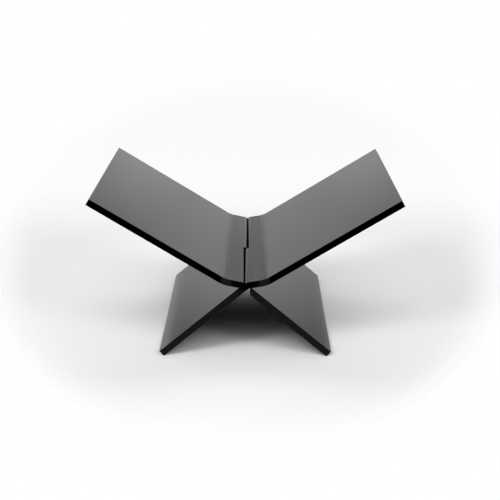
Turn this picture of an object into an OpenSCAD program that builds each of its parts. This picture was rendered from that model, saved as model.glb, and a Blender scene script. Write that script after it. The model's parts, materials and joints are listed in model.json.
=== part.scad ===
// Book stand of two bent sheets that cross like an X and interlock near the middle of their depth.
//
// Seen from the front, looking along +Y, the left panel has the left wing and the right leg, and the right
// panel has the right wing and the left leg. Between leg and wing each sheet has a short spine, with a tight
// bend below it and a soft bend above it. Each panel also has a notch over about half its depth, which takes
// the other panel. The left panel's notch opens at the front and the right panel's at the rear.
//
// +Z is up, the wings spread along X and the sheets run along Y. The origin is on the floor, under the axis
// about which the panels turn when the stand closes. Lengths are in millimetres and slopes in degrees.

/* [Sheet] */
// Thickness of both sheets
sheet_t = 8; // [6:0.5:10]
// Depth of the stand, front to rear
depth = 260; // [180:5:320]

/* [Legs] */
// Length of a leg from the tight bend to its lower end, along the middle of the sheet
leg_len = 133; // [100:1:160]
// Slope of the legs
leg_slope = 40.5; // [36:0.5:48]
// Width of the flat on the lower edge of a leg, which stands on the floor
foot_flat = 1; // [0.5:0.1:2]

/* [Wings] */
// Overall width, over the outer edges of both wings
overall_w = 360; // [300:1:420]
// Slope of the wings
wing_slope = 31.8; // [26:0.1:38]
// Radius of the soft bend below a wing, on its upper, hollow side
soft_r = 28; // [10:1:40]

/* [Spines] */
// Length of a spine between the middles of its two bends
spine_len = 22.5; // [20:0.5:36]
// Slope of the left panel's spine
left_spine_slope = 11.6; // [6:0.1:20]
// Slope of the right panel's spine
right_spine_slope = 9.6; // [6:0.1:20]
// Radius of the tight bend above a leg, on its lower, hollow side
tight_r = 8; // [4:1:12]
// Distance from the turning axis to a panel's tight bend, towards its own wing
bend_offset = 2.2; // [0:0.1:3]

/* [Notches] */
// Gap between the panels where one seats against the other
seat_gap = 0.3; // [0.2:0.05:0.6]
// Place along Y of the step in the seam, midway between the inner ends of the two notches
step_y = -4; // [-15:0.5:15]
// Gap along Y between the inner ends of the two notches
step_gap = 3.6; // [0.5:0.1:5]
// Width of the seam beside the other panel's ridge, at the inner end of a notch
seam_inner_w = 3.8; // [2:0.1:5]
// Width of the seam at the mouth of a notch, at the front or the rear
seam_mouth_w = 2.4; // [1.5:0.1:5]
// Room around the other panel's ridge, taken as sharp, as the panels turn
ridge_gap = 0.4; // [0.3:0.05:0.8]

/* [Hidden] */
$fn = 180;

half_t = sheet_t / 2;
// Distance of a notch's seats from the middle of the other panel's sheet
seat = half_t + seat_gap;
// Distance by which a cut passes the face that it goes through
past = sheet_t;
// Added to the radii of the bends, so that their arcs cross the straight faces and don't just touch them
bite = 0.002;
// Height lost where the foot flat is cut from the lower corner of a leg
foot_cut = foot_flat * sin(leg_slope) * cos(leg_slope);
axis_h = leg_len * sin(leg_slope) + half_t * cos(leg_slope) - foot_cut;

// A panel is drawn in X and Z from the turning axis, with its wing at the right and its leg at the left.
// Its parts rise to the right. The other panel is its mirror image but for the slope of the spine.

// Directions along a part of a given slope, and square to it on its upper side
function along(slope) = [cos(slope), sin(slope)];
function above(slope) = [-sin(slope), cos(slope)];
function mirrored(point) = [-point[0], point[1]];

bend_at = [bend_offset, 0];
foot_at = bend_at - leg_len * along(leg_slope);

// From the middle of the tight bend up to the ridge, the corner that it would have if it were sharp
function ridge(spine_slope) =
    half_t / cos((leg_slope - spine_slope) / 2) * above((leg_slope + spine_slope) / 2);

// The sheet turns about these points, which lie below the tight bend and above the soft one
function tight_centre(spine_slope) = bend_at - (tight_r + half_t) / half_t * ridge(spine_slope);
function soft_centre(spine_slope) =
    bend_at + spine_len * along(spine_slope)
    + (soft_r + half_t) / cos((wing_slope - spine_slope) / 2) * above((wing_slope + spine_slope) / 2);

function wing_start(spine_slope) = soft_centre(spine_slope) - (soft_r + half_t) * above(wing_slope);
function wing_len(spine_slope) =
    (overall_w / 2 - half_t * sin(wing_slope) - wing_start(spine_slope)[0]) / cos(wing_slope);

// Outline of a panel. Each bend is left sharp on its outer side and filled to its centre on its hollow side.
module blank_section(spine_slope) {
    tight = tight_centre(spine_slope);
    soft = soft_centre(spine_slope);
    wing_end = wing_start(spine_slope) + wing_len(spine_slope) * along(wing_slope);
    low_end = foot_at - half_t * above(leg_slope);
    polygon([
        foot_at + half_t * above(leg_slope),
        bend_at + ridge(spine_slope),
        soft - soft_r * above(spine_slope),
        soft,
        soft - soft_r * above(wing_slope),
        wing_end + half_t * above(wing_slope),
        wing_end - half_t * above(wing_slope),
        soft - (soft_r + sheet_t) / cos((wing_slope - spine_slope) / 2) * above((wing_slope + spine_slope) / 2),
        tight + tight_r * above(spine_slope),
        tight,
        tight + tight_r * above(leg_slope),
        // The leg's end is cut square to the sheet, and its lower corner is dressed flat for the floor
        low_end + foot_cut / sin(leg_slope) * along(leg_slope),
        low_end + foot_cut / cos(leg_slope) * above(leg_slope)
    ]);
}

// What a bend loses: the fill on its hollow side, and the corner on its outer side. The slopes are those of
// the parts that it joins, and the side is 1 where the centre lies below the sheet and -1 where it lies above.
module bend_waste(centre, hollow_r, side, slopes) {
    outer_r = hollow_r + sheet_t;
    translate(centre) {
        circle(r = hollow_r + bite);
        difference() {
            polygon([
                [0, 0],
                side * outer_r * above(slopes[0]),
                side * 2 * outer_r * above((slopes[0] + slopes[1]) / 2),
                side * outer_r * above(slopes[1])
            ]);
            circle(r = outer_r + bite);
        }
    }
}

module panel_section(spine_slope) {
    difference() {
        blank_section(spine_slope);
        bend_waste(tight_centre(spine_slope), tight_r, 1, [leg_slope, spine_slope]);
        bend_waste(soft_centre(spine_slope), soft_r, -1, [spine_slope, wing_slope]);
    }
}

// Height at x of a line of the other panel, which falls to the right, at a distance above its middle
function mate_line(x, slope, distance) = -(x + bend_offset) * tan(slope) + distance / cos(slope);
function mate_ridge(slope) = mirrored(bend_at + ridge(slope));

// Section of the notch. In it the other panel's leg falls to the right and its spine rises to the left.
// - Spine side: a bevelled seat along the other leg's upper face. It leaves a land at the seam.
// - Leg side: a seat under the other spine, then an upright face that the other leg closes against.
// - Middle: a round relief about the turning axis, in which the other panel's ridge turns.
module notch_section(mate_slope) {
    leg_face_x = -seat - bend_offset * sin(leg_slope);
    reach = 2 * spine_len;
    polygon([
        [0, mate_line(0, leg_slope, seat)],
        [reach, mate_line(reach, leg_slope, seat)],
        [reach, -2 * reach],
        [leg_face_x, -2 * reach],
        [leg_face_x, mate_line(leg_face_x, mate_slope, -seat)],
        [-reach, mate_line(-reach, mate_slope, -seat)],
        [-reach, reach],
        [0, reach]
    ]);
    circle(r = norm(mate_ridge(mate_slope)) + ridge_gap);
}

// Plan of what the notch takes off the land beside the other panel's ridge. The seam narrows to its mouth.
module seam_plan(mate_slope, y_inner) {
    mate_x = mate_ridge(mate_slope)[0];
    mouth_y = depth / 2 + past;
    polygon([
        [0, y_inner],
        [mate_x + seam_inner_w, y_inner],
        [mate_x + seam_mouth_w, depth / 2],
        [mate_x + seam_mouth_w, mouth_y],
        [0, mouth_y]
    ]);
}

// Runs a section drawn in X and Z from one place along Y to another
module from_to(y_front, y_rear) {
    translate([0, y_rear, axis_h])
        rotate([90, 0, 0])
            linear_extrude(height = y_rear - y_front)
                children();
}

// Panel whose notch opens at the rear and has its inner end at y_inner
module panel(spine_slope, mate_slope, y_inner) {
    difference() {
        from_to(-depth / 2, depth / 2) panel_section(spine_slope);
        from_to(y_inner, depth / 2 + past) notch_section(mate_slope);
        translate([0, 0, axis_h])
            linear_extrude(height = sheet_t)
                seam_plan(mate_slope, y_inner);
    }
}

module right_panel() {
    color([0.09, 0.09, 0.095])
        panel(right_spine_slope, left_spine_slope, step_y - step_gap / 2);
}

// The same kind of panel, turned half round: its wing is at the left and its notch opens at the front
module left_panel() {
    color([0.09, 0.09, 0.095])
        rotate([0, 0, 180])
            panel(left_spine_slope, right_spine_slope, -step_y - step_gap / 2);
}

left_panel();
right_panel();
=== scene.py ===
import json
import math

import bpy
from mathutils import Matrix, Vector

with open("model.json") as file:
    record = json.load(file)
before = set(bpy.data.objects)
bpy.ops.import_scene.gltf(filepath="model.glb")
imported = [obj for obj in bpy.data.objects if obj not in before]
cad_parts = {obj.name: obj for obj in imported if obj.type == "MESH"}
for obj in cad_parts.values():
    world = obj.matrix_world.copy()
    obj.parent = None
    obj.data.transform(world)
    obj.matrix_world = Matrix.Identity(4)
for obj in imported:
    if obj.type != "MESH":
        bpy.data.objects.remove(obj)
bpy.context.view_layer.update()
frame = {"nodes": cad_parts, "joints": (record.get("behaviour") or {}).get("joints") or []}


# ---- Left panel ----
# One sheet of black cast acrylic, bent twice over a hot wire: left wing, short spine and right leg. Its
# faces keep the glossy skin of the casting, and its edges are sawn and scraped to a dull black. It hangs in
# the right panel's notch and stands on its own leg.

class Wire:
    """An output of a node tree. Sums and products of wires add Math nodes, node() adds any other kind."""

    def __init__(self, tree, output=None):
        self.tree, self.output = tree, output

    def node(self, kind, settings=None, inputs=None, output=0):
        made = self.tree.nodes.new(kind)
        for name, value in (settings or {}).items():
            setattr(made, name, value)
        for name, value in (inputs or {}).items():
            if isinstance(value, Wire):
                self.tree.links.new(value.output, made.inputs[name])
            else:
                made.inputs[name].default_value = value
        return Wire(self.tree, made.outputs[output] if made.outputs else None)

    def math(self, operation, *values):
        return self.node("ShaderNodeMath", {"operation": operation}, dict(enumerate(values)))

    def __add__(self, other):
        return self.math("ADD", self, other)

    def __sub__(self, other):
        return self.math("SUBTRACT", self, other)

    def __rsub__(self, other):
        return self.math("SUBTRACT", other, self)

    def __mul__(self, other):
        return self.math("MULTIPLY", self, other)

    def __truediv__(self, other):
        return self.math("DIVIDE", self, other)

    def __abs__(self):
        return self.math("ABSOLUTE", self)

    __radd__, __rmul__ = __add__, __mul__

    def larger(self, other):
        return self.math("MAXIMUM", self, other)

    def length_with(self, other):
        """Length of the long side of a right-angled triangle with these two short sides."""
        return self.math("SQRT", self * self + other * other)

    def ease(self, start, end, low=0.0, high=1.0):
        """Low before start, high after end, and a smooth change between."""
        return self.node("ShaderNodeMapRange", {"interpolation_type": "SMOOTHSTEP"},
                         {0: self, 1: start, 2: end, 3: low, 4: high})

    def axes(self):
        """X, Y and Z of a vector."""
        split = self.node("ShaderNodeSeparateXYZ", inputs={0: self})
        return [Wire(self.tree, out) for out in split.output.node.outputs]


def new_tree(owner):
    owner.use_nodes = True
    owner.node_tree.nodes.clear()
    return Wire(owner.node_tree)


wing_slope = math.radians(31.8)
leg_slope = math.radians(40.5)
mean_slope = (wing_slope + leg_slope) / 2
axis_height = frame["joints"][0]["pos_m"][2]

# Spans over which the finish changes: heights near the turning axis, and distances from it to either side
top_of_legs = axis_height - 0.006, axis_height - 0.002
top_of_painted_edge_reflection = axis_height - 0.0077, axis_height - 0.0037
bends_begin, bends_end = (0.013, 0.019), (0.0275, 0.0285)
lines_end = 0.026, 0.031
heat_ends = 0.020, 0.038
ridge_ends = 0.005, 0.006

# How squarely a cut edge faces away from the sheet's faces, and a ridge's side towards the other panel
edge_facing = 0.90, 0.97
ridge_facing = 0.42, 0.51

# The clear skin: its strength, how much of it the heat takes away, and by how much lines and haze vary it
acrylic_ior = 1.49
skin_strength, skin_roughness = 0.95, 0.09
heat_dulls, lines_vary, drawn_lines_vary, haze_varies = 0.05, 0.03, 0.5, 0.04
# Waves in a metre, across and along the draw lines and in the haze
lines_across, lines_along, haze_waves = 520, 4, 14

# Reflectances below the skin and on the cut edges. The legs' and bends' greyer edges carry a painted
# reflection, and a spine's edge has only a share of a bend's.
face_black, wing_edge_black, leg_edge_painted_reflection, bend_edge_painted_reflection = 0.0035, 0.0003, 0.0091, 0.0100
spine_edge_share = 0.08
blue_share = 1.03

# The saw's lines: waves in a metre, depth in metres, and the roughness and the shades that they vary between
saw_lines, saw_depth, saw_bump = 600, 0.0001, 0.3
saw_roughness, saw_shades = (0.42, 0.55), (0.5, 1.6)

# A noise texture's middle, and the span in which nearly all of it lies
noise_middle, noise_span = 0.5, (0.3, 0.7)


def black_acrylic(name, wing_side, seed):
    """Glossy black sheet with dull cut edges. wing_side is 1 for a wing at +X and -1 for one at -X."""
    finish = bpy.data.materials.new(name)
    tree = new_tree(finish)
    place = tree.node("ShaderNodeTexCoord", output="Object")
    x, y, z = place.axes()
    face_x, face_y, face_z = tree.node("ShaderNodeTexCoord", output="Normal").axes()

    # A cut edge looks to the front or the rear, across a notch, or out along the wing or the leg
    wing_end = face_x * (wing_side * math.cos(wing_slope)) + face_z * math.sin(wing_slope)
    leg_end = face_x * (-wing_side * math.cos(leg_slope)) - face_z * math.sin(leg_slope)
    cut = abs(face_y).larger(abs(face_x)).larger(wing_end).larger(leg_end).ease(*edge_facing)

    # The hot wire leaves faint draw lines along the spine and its bends and dulls the skin there a little.
    # All of the skin has a slight haze.
    above_legs = z.ease(*top_of_legs)
    # Where the cut edges at the bends get a painted reflection, and a spine's edge a share of it
    bend_reflection_mask = abs(x).ease(*bends_begin, spine_edge_share, 1) * abs(x).ease(*bends_end, 1, 0) * above_legs
    drawn = abs(x).ease(*lines_end, 1, 0) * above_legs
    heated = abs(x).ease(*heat_ends, 1, 0) * above_legs
    lines_at = tree.node("ShaderNodeCombineXYZ", inputs={0: x * lines_across, 1: y * lines_along, 2: seed})
    lines = tree.node("ShaderNodeTexNoise", inputs={
        "Vector": lines_at, "Scale": 1, "Detail": 3, "Roughness": 0.65})
    haze = tree.node("ShaderNodeTexNoise", inputs={"Vector": place, "Scale": haze_waves, "Detail": 3})
    skin = (skin_strength - heat_dulls * heated
            + (lines - noise_middle) * (lines_vary + drawn_lines_vary * drawn)
            + (haze - noise_middle) * haze_varies)

    # Inside the seam the ridge's side towards the other panel loses its skin: a painted shade that darkens
    # the seam
    painted_seam_shade = (face_x * -wing_side).ease(*ridge_facing) * abs(x).ease(*ridge_ends, 1, 0) * above_legs

    # The saw leaves fine lines across the edges. The edges are black on the wings, and greyer on the legs
    # and the bends, where their grey is a painted reflection
    along_sheet = x * math.cos(mean_slope) + z * (wing_side * math.sin(mean_slope))
    saw_at = tree.node("ShaderNodeCombineXYZ", inputs={
        0: along_sheet * saw_lines, 1: y * saw_lines, 2: seed})
    saw = tree.node("ShaderNodeTexNoise", inputs={
        "Vector": saw_at, "Scale": 1, "Detail": 2, "Roughness": 0.7})
    edge_painted_reflection = z.ease(*top_of_painted_edge_reflection, leg_edge_painted_reflection, wing_edge_black) + bend_reflection_mask * bend_edge_painted_reflection
    shade = cut * edge_painted_reflection * saw.ease(*noise_span, *saw_shades) + (1 - cut) * face_black
    colour = tree.node("ShaderNodeCombineColor", inputs={0: shade, 1: shade, 2: shade * blue_share})
    relief = tree.node("ShaderNodeBump", inputs={
        "Strength": saw_bump, "Distance": saw_depth, "Height": saw * cut})
    shader = tree.node("ShaderNodeBsdfPrincipled", inputs={
        "Base Color": colour, "Roughness": saw.ease(*noise_span, *saw_roughness), "IOR": acrylic_ior,
        "Specular IOR Level": 0.0, "Normal": relief, "Coat Weight": skin * (1 - cut) * (1 - painted_seam_shade),
        "Coat Roughness": skin_roughness, "Coat IOR": acrylic_ior})
    tree.node("ShaderNodeOutputMaterial", inputs={"Surface": shader})
    return finish


def dress(panel, finish):
    """Eases the panel's cut edges as a scraper does, keeps its faces flat, and gives it its finish."""
    panel.material_slots[0].material = finish
    panel.data.attributes.remove(panel.data.attributes["custom_normal"])
    panel.data.shade_smooth()
    weld = panel.modifiers.new("weld", "WELD")
    weld.merge_threshold = 1e-6
    arris = panel.modifiers.new("arris", "BEVEL")
    arris.limit_method, arris.angle_limit = "ANGLE", math.radians(35)
    arris.width, arris.segments = 0.0004, 3
    arris.harden_normals = True
    flats = panel.modifiers.new("flats", "WEIGHTED_NORMAL")
    flats.weight = 100


dress(frame["nodes"]["left_panel"], black_acrylic("left_panel_acrylic", wing_side=-1, seed=3.0))


# ---- Right panel ----
# The same kind of sheet turned half round: right wing, spine and left leg. Its notch opens at the rear and
# takes the left panel, so that each sheet holds the other up.

dress(frame["nodes"]["right_panel"], black_acrylic("right_panel_acrylic", wing_side=1, seed=8.0))


# ---- Table ----
# A pale table top, which isn't part of the stand. Its colour carries a painted pool of light, palest under
# the stand, and it fades into the white around it, at the rim of a long oval and with distance.

table_reach = 3.0
table_corners = [(across * table_reach, deep * table_reach, 0)
                 for across, deep in ((-1, -1), (1, -1), (1, 1), (-1, 1))]
table_mesh = bpy.data.meshes.new("floor")
table_mesh.from_pydata(table_corners, [], [(0, 1, 2, 3)])
table = bpy.data.objects.new("floor", table_mesh)
bpy.context.scene.collection.objects.link(table)

# The camera sees the oval as an ellipse, so it widens away from the camera. Its numbers are its slimness
# across and along, its shift along, how far in front of the stand it would shrink to a point, and the least
# distance from that point. With distance, only a part of the table fades.
oval_across, oval_along, oval_shift, oval_point, oval_nearest = 4.15, 1.886, 0.358, 1.358, 0.1
oval_rim = 0.84, 1.08
far_fade, most_faded = (0.3, 0.6), 0.7

# Reflectance of the table with a painted pool of light, palest under the stand and falling off with distance
# from there, and the painted light that the far side has on top of it
painted_light_middle_y = 0.08
painted_light_span, palest_painted_light, least_pale = (0.13, 0.37), 0.97, 0.81
far_span, far_painted_light = (0.3, 0.8), 0.08

table_finish = bpy.data.materials.new("floor")
tree = new_tree(table_finish)
table_x, table_y, _ = tree.node("ShaderNodeTexCoord", output="Object").axes()
from_middle = (oval_across * table_x).length_with(oval_shift - oval_along * table_y)
rim = (from_middle / (table_y + oval_point).larger(oval_nearest)).ease(*oval_rim)
distance = most_faded * table_y.ease(*far_fade)
# The table's colour carries the painted pool of light and the far side's painted light
away = table_x.length_with(table_y - painted_light_middle_y)
pale_with_painted_light = away.ease(*painted_light_span, palest_painted_light, least_pale) + table_y.ease(*far_span, 0, far_painted_light)
grey = tree.node("ShaderNodeCombineColor", inputs={0: pale_with_painted_light, 1: pale_with_painted_light, 2: pale_with_painted_light})
solid = tree.node("ShaderNodeBsdfDiffuse", inputs={0: grey})
clear = tree.node("ShaderNodeBsdfTransparent")
faded = tree.node("ShaderNodeMixShader", inputs={0: 1 - (1 - rim) * (1 - distance), 1: solid, 2: clear})
tree.node("ShaderNodeOutputMaterial", inputs={"Surface": faded})
table_mesh.materials.append(table_finish)


# ---- Light ----
# A soft dome and two soft lamps in front, the left one stronger, light the table and the stand. The sheets
# mirror a pale wall, which is dimmer above, at its sides and in its corners. The camera sees white.

def sines(*angles):
    """Z of directions that rise by these angles in degrees, or the X of level ones that turn by them."""
    return [math.sin(math.radians(angle)) for angle in angles]


world = bpy.data.worlds.new("studio")
bpy.context.scene.world = world
tree = new_tree(world)
seen = tree.node("ShaderNodeLightPath", output="Is Camera Ray")
mirrored = tree.node("ShaderNodeLightPath", output="Is Glossy Ray")
way_x, way_y, way_z = tree.node("ShaderNodeTexCoord", output="Generated").axes()
aside = abs(way_x / way_x.length_with(way_y))

# The wall that the sheets mirror, as levels where 1 is white. Its corners are dimmer, most of all the right
# one and the lowest part of each, and beyond the wall the room is evenly white.
wall_level, high_wall_level, room_level = 1.09, 0.72, 1.2
wall_top, wall_sides = sines(11.5, 17), sines(9, 13)
side_share, left_share, right_share = 0.81, 0.95, 1.04
left_to_right = -0.2, 0.2
corner_share, right_corner_share, low_corner_share = 0.55, 0.82, 0.72
corners, right_corner, low_corner = sines(20, 25), (0.28, 0.36), sines(-1.5, 3)
room_above, room_aside = sines(22, 45), sines(32, 60)

wall = way_z.ease(*wall_top, wall_level, high_wall_level) * aside.ease(*wall_sides, 1, side_share)
slant = way_x.ease(*left_to_right, left_share, right_share)
corner = (aside.ease(*corners, 1, corner_share) * way_x.ease(*right_corner, 1, right_corner_share)
          * way_z.ease(*low_corner, low_corner_share, 1))
beyond = way_z.ease(*room_above).larger(aside.ease(*room_aside))
reflection = wall * slant * corner * (1 - beyond) + room_level * beyond

# The dome is a ring of light, and above it two brighter patches, before and behind the stand
ring_level, patch_level = 1.58, 2.1
ring_foot, ring_top, patch_top, patch_sides = sines(24, 32), sines(46, 54), sines(66, 74), sines(40, 50)
high = way_z.ease(*ring_top)
ring = way_z.ease(*ring_foot) * (1 - high) * ring_level
patches = high * way_z.ease(*patch_top, 1, 0) * aside.ease(*patch_sides, patch_level, 0)

level = seen + (1 - seen) * (mirrored * reflection + (1 - mirrored) * (ring + patches))
backdrop = tree.node("ShaderNodeBackground", inputs={0: (1, 1, 1, 1), 1: level})
tree.node("ShaderNodeOutputWorld", inputs={"Surface": backdrop})

lamp_size, lamp_distance = 0.5, 1.8


def soft_lamp(name, turn, rise, radiance):
    """Square lamp, turned to the right of the front and raised above the table by angles in degrees."""
    lamp_data = bpy.data.lights.new(name, "AREA")
    lamp_data.size = lamp_size
    lamp_data.energy = radiance * math.pi * lamp_size ** 2
    lamp = bpy.data.objects.new(name, lamp_data)
    bpy.context.scene.collection.objects.link(lamp)
    turn, rise = math.radians(turn), math.radians(rise)
    lamp.location = lamp_distance * Vector((math.sin(turn) * math.cos(rise),
                                            -math.cos(turn) * math.cos(rise), math.sin(rise)))
    lamp.rotation_euler = (-lamp.location).to_track_quat("-Z", "Y").to_euler()


soft_lamp("left_lamp", turn=-35, rise=45, radiance=10.4)
soft_lamp("right_lamp", turn=35, rise=40, radiance=5.9)


# ---- Camera ----
# In front of the stand and above it, where the photograph was taken. Its place and its lens were worked out
# from the stand's corners, so that they fall where the photograph has them.

image_width = 500  # pixels
focal_length = 981.7  # pixels
camera_place = 0.010451, -1.190311, 0.493170
turn, tilt, lean = math.radians(-0.269), math.radians(18.788), math.radians(-0.099)

camera_data = bpy.data.cameras.new("camera")
camera_data.sensor_width = 36
camera_data.lens = focal_length / image_width * camera_data.sensor_width
camera = bpy.data.objects.new("camera", camera_data)
bpy.context.scene.collection.objects.link(camera)
ahead = Vector((math.sin(turn) * math.cos(tilt), math.cos(turn) * math.cos(tilt), -math.sin(tilt)))
level_right = Vector((math.cos(turn), -math.sin(turn), 0))
level_down = ahead.cross(level_right)
right = math.cos(lean) * level_right + math.sin(lean) * level_down
down = math.cos(lean) * level_down - math.sin(lean) * level_right
facing = Matrix((right, -down, -ahead)).transposed().to_4x4()
camera.matrix_world = Matrix.Translation(camera_place) @ facing
bpy.context.scene.camera = camera
bpy.context.scene.view_settings.view_transform = "Standard"
